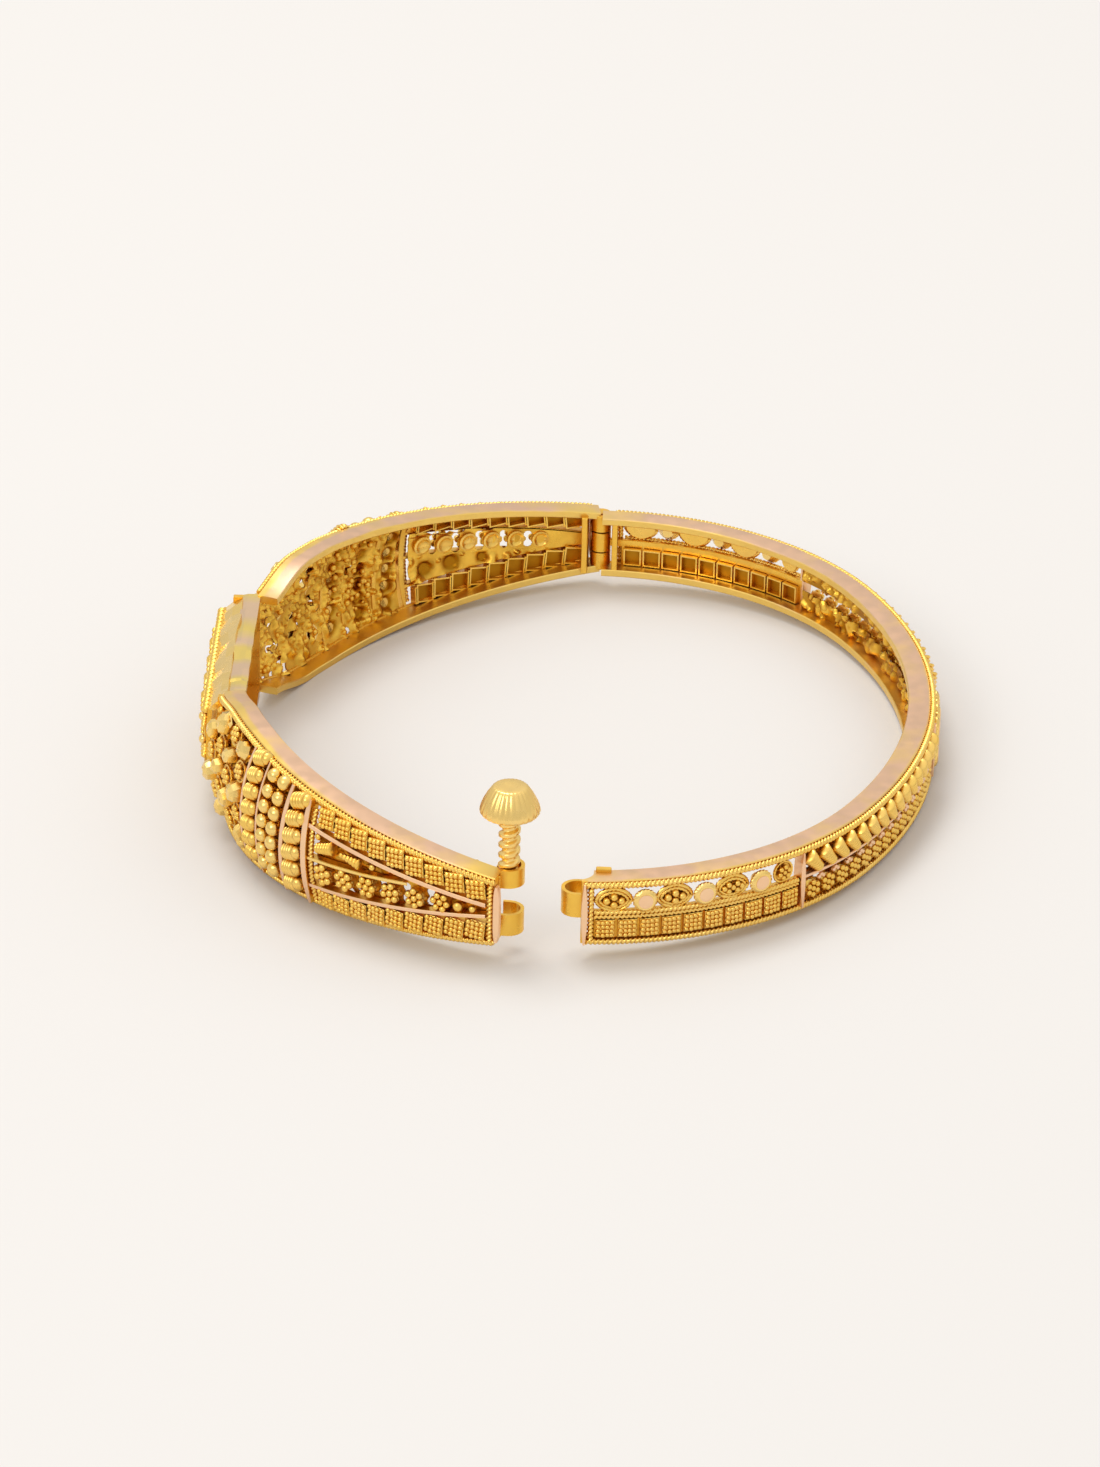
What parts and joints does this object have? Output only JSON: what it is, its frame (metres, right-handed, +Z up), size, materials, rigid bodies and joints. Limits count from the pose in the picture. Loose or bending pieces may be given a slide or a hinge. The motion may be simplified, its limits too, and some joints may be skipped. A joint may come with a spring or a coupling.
{
  "type": "screw bangle",
  "caption": "Rigid two-part filigree bangle with a pin hinge and a raised screw that closes the clasp.",
  "frame": {"origin": "centre of the bounding box on the floor, with the bangle lying on its side in the half-unscrewed, slightly open pose of the picture", "axes": "+Z up from the floor, +Y towards the hinge, -Y towards the screw clasp, +X towards the plain half, -X towards the ornate half; the bangle's own plane is tilted about +Y by 3.1 degrees because the ornate half is wider"},
  "size_m": [0.058, 0.0666, 0.014],
  "materials": {
    "gold": "polished high-carat gold, lightly worn",
    "pale_gold": "paler pinkish gold, flat and matt",
    "screw_gold": "polished gold, turned and fluted"
  },
  "bodies": {
    "plain": {"plain_frame": "gold", "plain_ropes": "gold", "plain_squares": "gold", "plain_rosettes": "gold", "plain_discs": "pale_gold", "plain_cones": "gold", "plain_granules": "pale_gold", "hinge_pin": "gold"},
    "ornate": {"ornate_frame": "gold", "ornate_ropes": "gold", "ornate_squares": "gold", "ornate_rosettes": "gold", "ornate_domes": "gold", "ornate_balls": "gold", "centre_rosettes": "gold", "centre_bosses": "gold", "plaque_beads": "gold"},
    "screw_rise": {"screw_core_pin": "gold"},
    "screw_turn": {"screw": "screw_gold"}
  },
  "joints": [
    {"name": "clasp_hinge", "type": "hinge", "parent": "plain", "child": "ornate", "pos_m": [0.00104, 0.032, 0.00421], "axis": [0.0541, 0, 0.9985], "range_deg": [-70, 4.65]},
    {"name": "screw_slide", "type": "slide", "parent": "ornate", "child": "screw_rise", "axis": [0.0541, 0, 0.9985], "range_m": [-0.0042, 0.001]},
    {"name": "screw_spin", "type": "hinge", "parent": "screw_rise", "child": "screw_turn", "pos_m": [-0.00331, -0.03089, 0.0074], "axis": [0.0541, 0, 0.9985], "range_deg": [-1790, 430]}
  ],
  "couplings": [
    {"joint": "screw_spin", "follows": "screw_slide", "rad_per_m": 7392}
  ]
}
